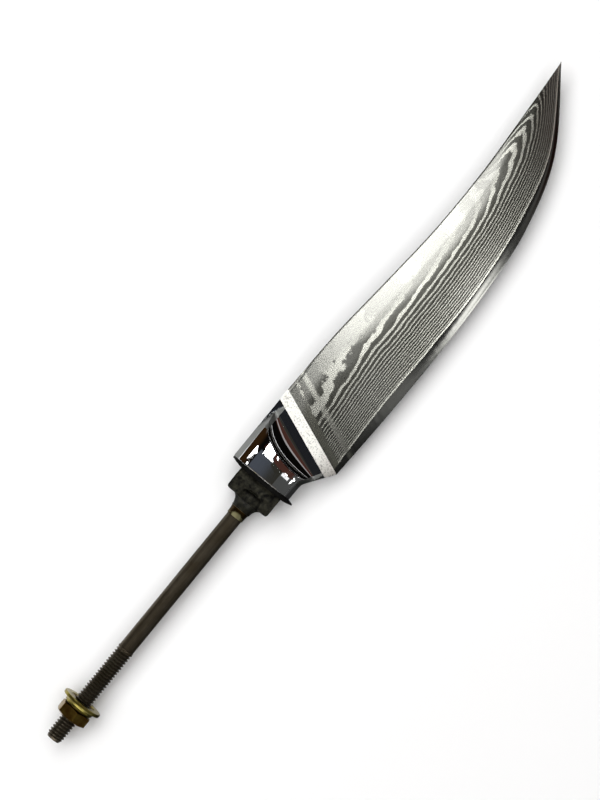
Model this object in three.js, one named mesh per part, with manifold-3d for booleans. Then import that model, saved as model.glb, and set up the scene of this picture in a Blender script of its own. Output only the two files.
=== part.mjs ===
// Steak knife without its handle: a clad blade, a bolster and a threaded tang, in millimetres.
// While it is drawn, x = 0 is the bolster's rear face and the tang's axis is y = z = 0.
// +X runs to the tip, +Y to the spine and +Z out of the knife's right side, on which the light falls.
import * as THREE from 'three';
import { mergeVertices } from 'three/addons/utils/BufferGeometryUtils.js';
import Module from 'manifold-3d';

// Blade. Lists run at even steps from heel to tip. Heights and depths are measured from the tang's axis.
const bladeLength = 118.7;
const spineHeights = [10.6, 10.2, 8.7, 7.35, 7.2, 8.2];
const edgeDepths = [14.0, 14.65, 14.75, 14.05, 11.8, 5.1];
const tipHeight = 9.55;
const heelSlant = 21;
const coreThickness = 0.6;
const heelThickness = 2.3;
const tipTaper = 21.5;
const coreShows = [1.55, 3.1, 3.2, 2.65, 3.05, 1.95, 1.2];
const grindPower = 2;

// Weld between the blade and the bolster
const weldWidth = 3.2;

// Bolster
const bolsterLength = 15.3;
const bolsterThickness = 13;
const bolsterTaper = 2.6;
const bolsterBelly = 8.3;
const sideFlat = 6;
const ovalPower = 2.3;
const spineFlat = 3.4;
const spineBevel = 1.5;
const bellyFlat = 3.6;
const bellyBevel = 1.2;
const choilStart = 5.2;
const tongueThickness = 2.8;
const tongueWidth = 2.3;
const scallopDepth = 5.6;
const scallopRun = 6.5;
const scallopReach = 12.5;
const scallopMiddle = -1.3;

// Guard plate behind the bolster
const plateThickness = 1.3;
const plateWidth = 12.2;
const plateTop = 10.5;
const plateBottom = 9.9;
const plateTopBevel = 3.3;
const plateTopEdge = 0.6;
const plateFin = 2.4;
const plateFinEdge = 0.3;

// Tenon block, with the boss that the rod is set in
const tenonLength = 6.36;
const tenonTop = 7.0;
const tenonBottom = 6.6;
const tenonThickness = 6;
const tenonRound = 0.7;
const tenonBevel = 0.4;
const tenonClearance = 0.3;
const spigotHeight = 10;
const spigotThickness = 4.4;
const spigotLength = 3;
const spigotClearance = 0.3;
const bossRadius = 4.4;
const bossRun = 3;
const bossNose = 1.5;
const coneLength = 2.7;
const brazeWall = 0.55;
const brazeLip = 0.15;
const brazeLength = 2.45;

// Rod
const rodDiameter = 4.5;
const rodSeat = 3.7;
const rodClearance = 0.1;
const shankLength = 50.84;
const threadLength = 31.4;
const threadDiameter = 4.87;
const threadChamfer = 1.2;
const threadRunOut = 0.4;

// Nut with its captive washer
const nutFromRodEnd = 7.1;
const nutLength = 3.4;
const nutAcrossFlats = 8.35;
const nutCornerAngle = 41;
const nutCrown = 0.9;
const nutSkirt = 0.35;
const threadClearance = 0.15;
const boreChamfer = 0.4;
const neckWall = 0.75;
const lipFlare = 0.35;
const lipLength = 0.5;
const washerPlay = 0.15;
const washerGap = 0.3;
const washerRadius = 5.85;
const washerCollar = 4.3;
const washerRim = 1.0;
const washerHeight = 2.1;
const washerRound = 0.15;

// Facets
const roundSides = 36;
const curveSteps = 6;
const ovalSteps = 6;
const scallopStations = 14;
const ribCount = 40;
const grindRows = 6;
const cutMargin = 2;

const wasm = await Module();
wasm.setup();
const { degToRad, lerp } = THREE.MathUtils;

// Frames that a flat drawing is turned into: drawn in (y, z) and pushed along x, or turned about x.
const alongX = new THREE.Matrix4().makeBasis(
  new THREE.Vector3(0, 1, 0), new THREE.Vector3(0, 0, 1), new THREE.Vector3(1, 0, 0));
const aboutX = new THREE.Matrix4().makeBasis(
  new THREE.Vector3(0, 1, 0), new THREE.Vector3(1, 0, 0), new THREE.Vector3(0, 0, -1));

// Shared points and no flat triangles, so that the surface is closed.
function welded(geometry) {
  geometry.deleteAttribute('normal');
  geometry.deleteAttribute('uv');
  const merged = mergeVertices(geometry, 1e-5);
  const kept = [];
  const index = merged.index.array;
  for (let i = 0; i < index.length; i += 3) {
    const [a, b, c] = index.slice(i, i + 3);
    if (a !== b && b !== c && c !== a) kept.push(a, b, c);
  }
  merged.setIndex(kept);
  return merged;
}

function solid(geometry) {
  const closed = welded(geometry);
  const vertProperties = closed.attributes.position.array;
  const triVerts = Uint32Array.from(closed.index.array);
  return new wasm.Manifold(new wasm.Mesh({ numProp: 3, vertProperties, triVerts }));
}

function geometryOf(manifold) {
  const { vertProperties, triVerts } = manifold.getMesh();
  const geometry = new THREE.BufferGeometry();
  geometry.setAttribute('position', new THREE.BufferAttribute(vertProperties, 3));
  geometry.setIndex(new THREE.BufferAttribute(triVerts, 1));
  return geometry;
}

function outline(points) {
  return new THREE.Shape(points.map(([x, y]) => new THREE.Vector2(x, y)));
}

// A cross-section in (y, z) that is as wide as a thickness.
function rectangle(bottom, top, thickness) {
  const half = thickness / 2;
  return outline([[bottom, -half], [top, -half], [top, half], [bottom, half]]);
}

// A side view, pushed out to both sides of the middle plane.
function slab(shape, thickness) {
  const geometry = new THREE.ExtrudeGeometry(shape, { depth: thickness, bevelEnabled: false });
  return geometry.translate(0, 0, -thickness / 2);
}

// A cross-section in (y, z), pushed along the knife.
function bar(shape, from, to) {
  const geometry = new THREE.ExtrudeGeometry(shape, { depth: to - from, bevelEnabled: false });
  return geometry.applyMatrix4(alongX).translate(from, 0, 0);
}

// A profile of [x, radius] points, turned about the tang's axis.
function turned(profile) {
  const points = profile.map(([x, radius]) => new THREE.Vector2(radius, x));
  return new THREE.LatheGeometry(points, roundSides).applyMatrix4(aboutX);
}

// A hollow from one bend to another, as [x, radius] points.
function hollow(from, bend, to) {
  const curve = new THREE.QuadraticBezierCurve(
    new THREE.Vector2(...from), new THREE.Vector2(...bend), new THREE.Vector2(...to));
  return curve.getPoints(curveSteps).map((point) => [point.x, point.y]);
}

// Rings of points joined side by side. Each ring runs from +Y to +Z, and a tip closes the last one.
function loft(rings, tip) {
  const corners = [];
  const count = rings[0].length;
  for (let k = 1; k < count - 1; k++) corners.push(rings[0][0], rings[0][k + 1], rings[0][k]);
  for (let i = 0; i + 1 < rings.length; i++) {
    for (let k = 0; k < count; k++) {
      const next = (k + 1) % count;
      const [a, b, c, d] = [rings[i][k], rings[i][next], rings[i + 1][next], rings[i + 1][k]];
      corners.push(a, b, d, b, c, d);
    }
  }
  const last = rings.at(-1);
  for (let k = 0; tip && k < count; k++) corners.push(last[k], last[(k + 1) % count], tip);
  for (let k = 1; !tip && k < count - 1; k++) corners.push(last[0], last[k], last[k + 1]);
  const geometry = new THREE.BufferGeometry().setFromPoints(corners);
  return welded(geometry);
}

// Where a slanted line that crosses the tang's axis at x = base stands at height y.
const slantAngle = degToRad(heelSlant);
const slant = Math.tan(slantAngle);
const onSlant = (base, y) => new THREE.Vector2(base + slant * y, y);

const spineTop = spineHeights[0];
const heelBase = bolsterLength + weldWidth / Math.cos(slantAngle);
const tip = new THREE.Vector3(heelBase + bladeLength, tipHeight, 0);
const heelEdge = onSlant(heelBase, -edgeDepths[0]);
const heelSpine = onSlant(heelBase, spineTop);

// The choil runs straight from the bolster's belly to the heel, and the weld's border crosses it.
const choil = new THREE.Vector2(choilStart, -bolsterBelly);
const choilSlope = (heelEdge.y - choil.y) / (heelEdge.x - choil.x);
const borderDrop = (choil.y + choilSlope * (bolsterLength - choil.x)) / (1 - choilSlope * slant);
const borderEdge = onSlant(bolsterLength, borderDrop);
const borderSpine = onSlant(bolsterLength, spineTop);

// Blade: ribs stand between the edge and the spine, and the grind rounds each from the core outwards.
// The spine keeps its thickness until it nears the tip, and the core shows along the edge.
function profileCurve(start, heights) {
  const step = (tip.x - start.x) / heights.length;
  const points = heights.map((height, i) => new THREE.Vector2(start.x + i * step, height));
  return new THREE.SplineCurve([...points, new THREE.Vector2(tip.x, tip.y)]);
}

const spineCurve = profileCurve(heelSpine, spineHeights);
const edgeCurve = profileCurve(heelEdge, edgeDepths.map((depth) => -depth));
const showCurve = new THREE.SplineCurve(coreShows.map((show) => new THREE.Vector2(0, show)));
const coreHalf = coreThickness / 2;
const claddingFull = (heelThickness - coreThickness) / 2;

function rib(u) {
  const edge = edgeCurve.getPoint(u);
  const spine = spineCurve.getPoint(u);
  const coreShow = showCurve.getPoint(u).y;
  const cladLine = coreShow / (coreShow + edge.distanceTo(spine));
  const spineHalf = coreHalf + claddingFull * (1 - Math.exp((spine.x - tip.x) / tipTaper));
  return {
    at(share, z) {
      const point = edge.clone().lerp(spine, share);
      return new THREE.Vector3(point.x, point.y, z);
    },
    cladLine,
    shareOf: (row) => lerp(cladLine, 1, row / grindRows),
    halfOf: (row) => lerp(spineHalf, coreHalf, (1 - row / grindRows) ** grindPower),
  };
}

const ribs = Array.from({ length: ribCount }, (_, i) => rib(i / ribCount));

function coreRing({ at, cladLine }) {
  const half = coreHalf;
  return [at(0, 0), at(cladLine, -half), at(1, -half), at(1, half), at(cladLine, half)];
}

function claddingRing({ at, shareOf, halfOf }) {
  const ring = [at(shareOf(0), coreHalf), at(1, coreHalf)];
  for (let row = grindRows; row > 0; row--) ring.push(at(shareOf(row), halfOf(row)));
  return ring;
}

// The same ring on the other side of the middle plane.
function mirrored(ring) {
  return ring.map(({ x, y, z }) => new THREE.Vector3(x, y, -z)).reverse();
}

const bladeCore = loft(ribs.map(coreRing), tip);
const rightCladding = loft(ribs.map(claddingRing), tip);
const leftCladding = loft(ribs.map((one) => mirrored(claddingRing(one))), tip);

// Weld: from the tongue's square end to the blade's ground section at the heel.
function weldRing(shares, place, halfAt) {
  const side = shares.map((share) => {
    const point = place(share);
    return new THREE.Vector3(point.x, point.y, halfAt(share));
  });
  return [...side.map(({ x, y, z }) => new THREE.Vector3(x, y, -z)), ...side.reverse()];
}

const heelRib = ribs[0];
const heelRows = Array.from({ length: grindRows + 1 }, (_, row) => row);
const heelShares = [0, ...heelRows.map(heelRib.shareOf)];
const heelHalves = [0, ...heelRows.map(heelRib.halfOf)];
const weldSeam = loft([
  weldRing(heelShares, (share) => borderEdge.clone().lerp(borderSpine, share), () => tongueThickness / 2),
  weldRing(heelShares, (share) => heelRib.at(share, 0), (share) => heelHalves[heelShares.indexOf(share)]),
]);

// An oval cross-section in (y, z) with flat sides, and a flat and a bevel at the spine and at the belly.
function oval({ top, bottom, width, topFlat, topBevel, bottomFlat, bottomBevel }) {
  const middle = (top - bottom) / 2;
  const reach = (top + bottom - sideFlat) / 2;
  const round = (bevel) => {
    const first = Math.acos((1 - bevel / reach) ** (ovalPower / 2));
    return Array.from({ length: ovalSteps + 1 }, (_, i) => {
      const angle = lerp(first, Math.PI / 2, i / ovalSteps);
      const rise = sideFlat / 2 + reach * Math.cos(angle) ** (2 / ovalPower);
      return [rise, (width / 2) * Math.sin(angle) ** (2 / ovalPower)];
    });
  };
  const upper = round(topBevel).map(([rise, z]) => [middle + rise, z]);
  const lower = round(bottomBevel).map(([rise, z]) => [middle - rise, z]).reverse();
  const side = [[top, topFlat / 2], ...upper, ...lower, [-bottom, bottomFlat / 2]];
  return [...side, ...side.map(([y, z]) => [y, -z]).reverse()];
}

// Bolster: a body that tapers to the blade and a flat tongue, hollowed to the tongue along the weld's slant.
// The hollow is a row of arcs that rise from the tongue, longest in the middle, so its rear border is bowed.
function scallopRing(station, side) {
  const turn = Math.PI * (station / scallopStations);
  const base = onSlant(bolsterLength, scallopMiddle + scallopReach * Math.cos(turn));
  const run = scallopRun * Math.sin(turn);
  const floor = tongueThickness / 2;
  const high = floor + scallopDepth + cutMargin;
  const section = [[cutMargin, floor], [cutMargin, high], [-tongueWidth - run, high]];
  for (let i = curveSteps * 2; i >= 0; i--) {
    const climb = (i / (curveSteps * 2)) * (Math.PI / 2);
    section.push([-tongueWidth - run * Math.sin(climb), floor + scallopDepth * (1 - Math.cos(climb))]);
  }
  const ring = section.map(([across, z]) => new THREE.Vector3(
    base.x + across * Math.cos(slantAngle), base.y - across * Math.sin(slantAngle), side * z));
  return side > 0 ? ring : ring.reverse();
}

function scallop(side) {
  const stations = Array.from({ length: scallopStations - 1 }, (_, i) => i + 1);
  return solid(loft(stations.map((station) => scallopRing(station, side))));
}

function bodyRing(x) {
  const section = oval({
    top: spineTop, bottom: bolsterBelly, width: bolsterThickness - 2 * x * Math.tan(degToRad(bolsterTaper)),
    topFlat: spineFlat, topBevel: spineBevel, bottomFlat: bellyFlat, bottomBevel: bellyBevel,
  });
  return section.map(([y, z]) => new THREE.Vector3(x, y, z));
}

const borderBelly = onSlant(bolsterLength, -bolsterBelly);
const bodySide = outline([
  [0, spineTop + cutMargin], [onSlant(bolsterLength, spineTop + cutMargin).x, spineTop + cutMargin],
  [onSlant(bolsterLength, -bolsterBelly - cutMargin).x, borderBelly.y - cutMargin],
  [0, -bolsterBelly - cutMargin],
]);
const tongueSide = outline([
  [choil.x, choil.y], [borderEdge.x, borderEdge.y], [borderSpine.x, borderSpine.y], [choil.x, spineTop],
]);
const spigotHole = rectangle(
  -spigotHeight / 2 - spigotClearance, spigotHeight / 2 + spigotClearance, spigotThickness + 2 * spigotClearance);
const bolster = geometryOf(
  solid(loft([bodyRing(0), bodyRing(borderSpine.x + cutMargin)]))
    .intersect(solid(slab(bodySide, bolsterThickness + cutMargin)))
    .subtract(scallop(1))
    .subtract(scallop(-1))
    .add(solid(slab(tongueSide, tongueThickness)))
    .subtract(solid(bar(spigotHole, -cutMargin, spigotLength + spigotClearance))));

// Guard plate: an oval that slips over the tenon block, thinned at the spine and drawn to a fin at the belly.
const plateSection = oval({
  top: plateTop, bottom: plateBottom, width: plateWidth,
  topFlat: spineFlat, topBevel: spineBevel, bottomFlat: bellyFlat, bottomBevel: bellyBevel,
});
const finMiddle = -plateThickness / 2;
const plateSide = outline([
  [0, plateTop], [-plateTopEdge, plateTop], [-plateThickness, plateTop - plateTopBevel],
  [-plateThickness, -plateBottom + plateFin], [finMiddle - plateFinEdge / 2, -plateBottom],
  [finMiddle + plateFinEdge / 2, -plateBottom], [0, -plateBottom + plateFin],
]);
const plateSlot = rectangle(
  -tenonBottom - tenonClearance, tenonTop + tenonClearance, tenonThickness + 2 * tenonClearance);
const guardPlate = geometryOf(
  solid(bar(outline(plateSection), -plateThickness - cutMargin, cutMargin))
    .intersect(solid(slab(plateSide, plateWidth + cutMargin)))
    .subtract(solid(bar(plateSlot, -plateThickness - cutMargin, cutMargin))));

// Tenon block: a forged block against the bolster, with a spigot in front and a round boss behind.
const blockFront = 0;
const blockRear = blockFront - plateThickness - tenonLength;
const coneRear = blockRear - coneLength;
const bossFront = blockRear + bossRun;
const rodRadius = rodDiameter / 2;
const boreRadius = rodRadius + rodClearance;
const coneRadius = boreRadius + brazeWall;

function roundedBlock() {
  const shape = new THREE.Shape();
  const inset = tenonBevel;
  shape.moveTo(blockFront, -tenonBottom + inset);
  shape.lineTo(blockFront, tenonTop - inset);
  shape.lineTo(blockRear + inset + tenonRound, tenonTop - inset);
  shape.quadraticCurveTo(blockRear + inset, tenonTop - inset, blockRear + inset, tenonTop - inset - tenonRound);
  shape.lineTo(blockRear + inset, -tenonBottom + inset + tenonRound);
  shape.quadraticCurveTo(
    blockRear + inset, -tenonBottom + inset, blockRear + inset + tenonRound, -tenonBottom + inset);
  const geometry = new THREE.ExtrudeGeometry(shape, {
    depth: tenonThickness - 2 * inset, bevelSize: inset, bevelThickness: inset, bevelSegments: 2,
    curveSegments: curveSteps,
  });
  const flush = outline([
    [blockFront, tenonTop + cutMargin], [blockRear - cutMargin, tenonTop + cutMargin],
    [blockRear - cutMargin, -tenonBottom - cutMargin], [blockFront, -tenonBottom - cutMargin],
  ]);
  return solid(geometry.translate(0, 0, inset - tenonThickness / 2))
    .intersect(solid(slab(flush, tenonThickness + cutMargin)));
}

const noseStart = bossFront - bossNose;
const nose = hollow([noseStart, bossRadius], [bossFront, bossRadius], [bossFront, bossRadius - bossNose]);
const boss = turned([
  [coneRear, 0],
  ...hollow([coneRear, coneRadius], [blockRear - coneLength / 3, coneRadius], [blockRear, bossRadius]),
  ...nose,
  [bossFront, 0],
]);
const rodFront = blockRear + rodSeat;
const bore = turned([
  [coneRear - cutMargin, 0], [coneRear - cutMargin, boreRadius], [rodFront, boreRadius], [rodFront, 0],
]);
const spigot = rectangle(-spigotHeight / 2, spigotHeight / 2, spigotThickness);
const tenonBlock = geometryOf(
  roundedBlock()
    .add(solid(bar(spigot, blockFront - tenonBevel, spigotLength)))
    .add(solid(boss))
    .subtract(solid(bore)));

// Braze: a hollow ring that runs out on the rod.
const brazeRear = coneRear - brazeLength;
const brazeFillet = turned([
  [brazeRear, boreRadius],
  ...hollow([brazeRear, boreRadius + brazeLip], [coneRear, boreRadius + brazeLip], [coneRear, coneRadius]),
  [coneRear, boreRadius],
  [brazeRear, boreRadius],
]);

// Rod: a plain shank, then the stretch that carries the thread, drawn at the thread's crests.
const threadRadius = threadDiameter / 2;
const threadStart = blockRear - shankLength;
const rodRear = threadStart - threadLength;
const tangRod = turned([
  [rodRear, 0], [rodRear, threadRadius - threadChamfer / 2], [rodRear + threadChamfer, threadRadius],
  [threadStart - threadRunOut, threadRadius], [threadStart, rodRadius], [rodFront, rodRadius], [rodFront, 0],
]);

// Nut: a hexagon crowned at its outer end, with a neck that is flared inside the washer to hold it.
const nutRear = rodRear + nutFromRodEnd;
const nutFront = nutRear + nutLength;
const nutBore = threadRadius + threadClearance;
const nutCorner = nutAcrossFlats / 2 / Math.cos(Math.PI / 6);
const neckRadius = nutBore + neckWall;
const washerRear = nutFront + washerGap;
const washerFront = washerRear + washerHeight;
const lipFront = washerFront - washerPlay;
const lipRear = lipFront - lipLength;
const lipRadius = neckRadius + lipFlare;
const washerBore = neckRadius + washerPlay;
const corners = Array.from({ length: 6 }, (_, i) => {
  const angle = degToRad(nutCornerAngle + i * 60);
  return [nutCorner * Math.cos(angle), nutCorner * Math.sin(angle)];
});
const crowned = turned([
  [nutRear, 0], [nutRear, nutCorner - nutCrown], [nutRear + nutCrown / 2, nutCorner],
  [nutFront - nutSkirt, nutCorner], [nutFront, nutCorner - nutSkirt], [nutFront, 0],
]);
const neck = turned([
  [nutFront - nutLength / 2, 0], [nutFront - nutLength / 2, neckRadius], [lipRear, neckRadius],
  [lipFront, lipRadius], [lipFront, 0],
]);
const nutHole = turned([
  [nutRear - boreChamfer, 0], [nutRear - boreChamfer, nutBore + 2 * boreChamfer],
  [nutRear + boreChamfer, nutBore], [lipFront + boreChamfer, nutBore], [lipFront + boreChamfer, 0],
]);
const hexNut = geometryOf(
  solid(bar(outline(corners), nutRear, nutFront))
    .intersect(solid(crowned))
    .add(solid(neck))
    .subtract(solid(nutHole)));

// Washer: a hollow cone from its collar to its rim, bored and countersunk for the neck's flare.
const rimRear = washerFront - washerRim;
const washerSink = lipRadius + washerPlay;
const nutWasher = turned([
  [washerRear, washerBore],
  ...hollow([washerRear, washerCollar], [rimRear, washerCollar], [rimRear, washerRadius - washerRound]),
  [rimRear + washerRound, washerRadius], [washerFront - washerRound, washerRadius],
  [washerFront, washerRadius - washerRound], [washerFront, washerSink],
  [lipRear - washerPlay, washerBore], [washerRear, washerBore],
]);

const knife = new THREE.Group();

function piece(name, geometry, color, roughness, metalness) {
  const material = new THREE.MeshStandardMaterial({ color, roughness, metalness, flatShading: true });
  const mesh = new THREE.Mesh(geometry, material);
  mesh.name = name;
  knife.add(mesh);
}

piece('blade_core', bladeCore, '#3e3d35', 0.35, 1);
piece('right_cladding', rightCladding, '#6f6f66', 0.45, 1);
piece('left_cladding', leftCladding, '#6f6f66', 0.45, 1);
piece('weld_seam', weldSeam, '#d9d9d2', 0.55, 1);
piece('bolster', bolster, '#b9bbbd', 0.08, 1);
piece('guard_plate', guardPlate, '#1c1b17', 0.6, 0.7);
piece('tenon_block', tenonBlock, '#22211a', 0.6, 0.6);
piece('braze_fillet', welded(brazeFillet), '#a08c4a', 0.35, 1);
piece('tang_rod', welded(tangRod), '#3a352b', 0.5, 0.8);
piece('hex_nut', hexNut, '#55430f', 0.35, 0.9);
piece('nut_washer', welded(nutWasher), '#6f6430', 0.35, 0.9);

// The finished part lies on its left side, with its origin under the middle of its box.
const box = new THREE.Box3().setFromObject(knife);
const middle = box.getCenter(new THREE.Vector3());
knife.position.set(-middle.x, -middle.y, -box.min.z);

export default knife;
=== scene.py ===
from math import atan2, cos, exp, hypot, pi, radians, sin, sqrt, tan
import bpy
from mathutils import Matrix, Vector, noise


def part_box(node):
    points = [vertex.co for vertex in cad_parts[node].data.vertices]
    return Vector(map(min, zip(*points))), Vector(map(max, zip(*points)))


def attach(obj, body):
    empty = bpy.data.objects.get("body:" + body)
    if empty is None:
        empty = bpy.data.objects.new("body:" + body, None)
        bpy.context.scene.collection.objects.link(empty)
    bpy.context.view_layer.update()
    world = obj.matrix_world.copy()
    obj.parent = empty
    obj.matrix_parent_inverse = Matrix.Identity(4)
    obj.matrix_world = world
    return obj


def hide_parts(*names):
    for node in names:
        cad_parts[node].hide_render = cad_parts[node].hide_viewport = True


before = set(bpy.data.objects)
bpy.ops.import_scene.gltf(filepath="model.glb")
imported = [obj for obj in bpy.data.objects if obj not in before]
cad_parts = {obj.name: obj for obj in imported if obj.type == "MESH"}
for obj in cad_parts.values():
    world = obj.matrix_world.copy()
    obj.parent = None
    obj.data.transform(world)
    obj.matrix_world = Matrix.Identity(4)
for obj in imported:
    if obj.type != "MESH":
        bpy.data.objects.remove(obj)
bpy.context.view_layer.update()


# Blade core: the hard layer in the middle of the blade, which shows bare along the edge.
# High-carbon steel, forge welded between the two claddings and ground with them from both sides.
# Sizes are in millimetres from the point where the tang's axis meets the bolster's rear face.
mm = 0.001
rod_low, rod_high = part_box("tang_rod")
origin = (rod_low + rod_high) / 2
origin.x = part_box("bolster")[0].x


def placed(point):
    """A point in millimetres, put in its place in the frame."""
    return origin + Vector(point) * mm


slant = radians(21)
bolster_length = 15.3
weld_width = 3.2
heel_base = bolster_length + weld_width / cos(slant)
blade_length = 118.7
tip_x = heel_base + blade_length
tip_height = 9.55
spine_heights = [10.6, 10.2, 8.7, 7.35, 7.2, 8.2, tip_height]
edge_heights = [-14.0, -14.65, -14.75, -14.05, -11.8, -5.1, tip_height]
core_shows = [1.55, 3.35, 3.2, 2.65, 3.05, 1.95, 1.2]
core_half, core_swell = 0.3, 0.045
hone_width, hone_half = 0.3, 0.03
# The stripe where the grind runs out carries a painted highlight: its place, half width and strength.
plunge_place, plunge_half, plunge_highlight_share = 5.6, 0.75, 0.85
ribs, core_rows = 420, 8

# Waves of the core's upper border: how high each is, how long, and its own place in the noise.
border_waves = [(0.16, 5, 0), (0.09, 1.3, 7)]


def on_curve(values, share):
    """The value at a share of the way along a smooth curve through evenly spaced values."""
    last = len(values) - 1
    first = min(int(share * last), last - 1)
    part = share * last - first
    start, end = values[first], values[first + 1]
    leave = (end - values[max(first - 1, 0)]) / 2
    arrive = (values[min(first + 2, last)] - start) / 2
    cubic = 2 * start - 2 * end + leave + arrive
    square = 3 * end - 3 * start - 2 * leave - arrive
    return ((cubic * part + square) * part + leave) * part + start


def even_steps(first, last, count):
    """Evenly spaced values from the first to the last."""
    return [first + (last - first) * step / count for step in range(count + 1)]


spine_places = even_steps(heel_base + tan(slant) * spine_heights[0], tip_x, len(spine_heights) - 1)
edge_places = even_steps(heel_base + tan(slant) * edge_heights[0], tip_x, len(edge_heights) - 1)


class Rib:
    """One line across the blade from its edge to its spine, with the share where the cladding starts."""

    def __init__(self, along):
        self.edge = Vector((on_curve(edge_places, along), on_curve(edge_heights, along)))
        self.spine = Vector((on_curve(spine_places, along), on_curve(spine_heights, along)))
        self.length = (self.spine - self.edge).length
        show = on_curve(core_shows, along)
        wander = sum(height * noise.noise((self.edge.x / length, place, 0))
                     for height, length, place in border_waves)
        self.border = show / (show + self.length) + wander * (1 - along) / self.length
        self.clad = self.length * (1 - self.border)

    def at(self, share, half):
        """The point at a share of the way to the spine, at a distance from the blade's middle."""
        x, y = self.edge.lerp(self.spine, share)
        return x, y, half


def skinned(name, rings, tip=None):
    """A closed skin over rings of points that each run from +Y to +Z, with flat ends or a tip."""
    count = len(rings[0])
    points = [placed(point) for ring in rings for point in ring]
    faces = [tuple(reversed(range(count)))]
    for start in range(0, len(points) - count, count):
        for step in range(count):
            following = (step + 1) % count
            faces.append((start + step, start + following, start + count + following, start + count + step))
    end = range(len(points) - count, len(points))
    if tip:
        faces += [(end[step], end[(step + 1) % count], len(points)) for step in range(count)]
        points.append(placed(tip))
    else:
        faces.append(tuple(end))
    mesh = bpy.data.meshes.new(name)
    mesh.from_pydata(points, [], faces)
    piece = bpy.data.objects.new(name, mesh)
    bpy.context.collection.objects.link(piece)
    return piece


def take(piece):
    """Make a piece the only one that the next operator acts on."""
    bpy.ops.object.select_all(action="DESELECT")
    piece.select_set(True)
    bpy.context.view_layer.objects.active = piece


def smoothed(piece, degrees):
    """Shade a piece smooth, with an edge kept where it bends by more than some degrees."""
    take(piece)
    bpy.ops.object.shade_smooth_by_angle(angle=radians(degrees))


def marked(piece, name, values):
    """Keep a value for each point of a piece, for its material to read."""
    attribute = piece.data.attributes.new(name, "FLOAT", "POINT")
    attribute.data.foreach_set("value", values)


def linear(colour):
    """An sRGB hex colour as the linear values that a shader takes."""
    channels = [int(colour[start:start + 2], 16) / 255 for start in (1, 3, 5)]
    return [c / 12.92 if c < 0.04045 else ((c + 0.055) / 1.055) ** 2.4 for c in channels] + [1]


def surface(piece, name):
    """A new material on a piece, with its shader."""
    material = bpy.data.materials.new(name)
    material.use_nodes = True
    piece.data.materials.append(material)
    return material, material.node_tree.nodes["Principled BSDF"].inputs


def add_node(material, kind, inputs=None, **settings):
    """Add one node, with its settings, and with values or other nodes' outputs on its inputs."""
    made = material.node_tree.nodes.new(kind)
    for name, value in settings.items():
        setattr(made, name, value)
    for name, value in (inputs or {}).items():
        if isinstance(value, bpy.types.NodeSocket):
            material.node_tree.links.new(value, made.inputs[name])
        else:
            made.inputs[name].default_value = value
    return made


def past_heel(x, y):
    """How far a point lies from the weld's front border, square to it."""
    return (x - heel_base - tan(slant) * y) * cos(slant)


def painted_plunge_highlight(x, y):
    """How much painted highlight lies on the soft stripe where the grind runs out in front of the heel."""
    offset = (past_heel(x, y) - plunge_place) / plunge_half
    return exp(-offset ** 4) * plunge_highlight_share


blade_ribs = [Rib(step / ribs) for step in range(ribs)]


def core_ring(rib):
    """The points round the core at one rib, which start at the edge."""
    hone = hone_width / rib.length
    side = []
    for step in range(core_rows + 1):
        part = step / core_rows
        half = hone_half + (core_half - hone_half) * part + core_swell * 4 * part * (1 - part)
        side.append(rib.at(hone + (rib.border - hone) * part, half))
    far_side = [(x, y, -half) for x, y, half in side]
    return [rib.at(0, 0), *far_side, rib.at(1, -core_half), rib.at(1, core_half), *reversed(side)]


core_rings = [core_ring(rib) for rib in blade_ribs]
blade_core = skinned("blade_core_steel", core_rings, (tip_x, tip_height, 0))
smoothed(blade_core, 20)
core_points = [point for ring in core_rings for point in ring] + [(tip_x, tip_height, 0)]
marked(blade_core, "plunge_highlight", [painted_plunge_highlight(x, y) for x, y, half in core_points])

# Etched and honed carbon steel: dark grey, with a painted highlight on the stripe where the grind runs
# out, and still smooth enough to mirror a lamp softly.
core_steel, core_shader = surface(blade_core, "etched carbon steel")
core_shader["Metallic"].default_value = 1
core_place = add_node(core_steel, "ShaderNodeTexCoord").outputs["Object"]
core_grain = add_node(core_steel, "ShaderNodeTexNoise", {
    "Vector": core_place, "Scale": 1 / (0.5 * mm), "Detail": 3.0, "Roughness": 0.6})
# Painted highlight on the stripe where the grind runs out, mixed into the core's grey.
core_plunge_highlight = add_node(core_steel, "ShaderNodeAttribute", attribute_name="plunge_highlight")
core_tone = add_node(core_steel, "ShaderNodeMix", {
    "Factor": core_grain.outputs["Fac"], "A": linear("#4a4a47"), "B": linear("#5b5b58")}, data_type="RGBA")
core_colour = add_node(core_steel, "ShaderNodeMix", {
    "Factor": core_plunge_highlight.outputs["Fac"], "A": core_tone.outputs["Result"], "B": linear("#9a9a90")},
    data_type="RGBA")
core_steel.node_tree.links.new(core_colour.outputs["Result"], core_shader["Base Color"])
core_shader["Roughness"].default_value = 0.13
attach(blade_core, "knife")
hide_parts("blade_core")


# Claddings: the layered steel on each side of the core, one piece a side.
# Seventeen pairs of soft steels are forged thin, welded to the core, ground to a feather edge and etched,
# so that every layer the grind cuts through shows as a bright or a dark line.
layer_thickness, layers_per_mm = 0.05, 1.47
crown_layers, tip_run = 13.4, 14.3
crown_start, crown_slope, crown_bend = 0.785, 0.28, 0.34
grind_rows = 68
spine_round = 0.08
spine_break, break_slope, break_end, break_run = 1.0, 0.3, 33, 9
border_width = 0.38
pattern_start, pattern_lean = 2.45, 0.045
mottle_place, mottle_run = 0.45, 0.35
dull_place, dull_run, dull_top, dull_fade = 96, 24, 0.9, 0.35
# Lines fade on the thin bevel by the tip, and are painted fainter under the painted sheen.
bevel_dulling, sheen_dulling = 0.25, 0.8
# The painted sheen on the crown: where it starts below the spine along the blade, and how far it comes in.
sheen_heights = [2.0, 4.2, 4.6, 1.9, 1.0, -0.3, -0.8, -0.7, 0.6, 4.3, 8.5, 11.7, 14]
sheen_fade = 2.6

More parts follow.
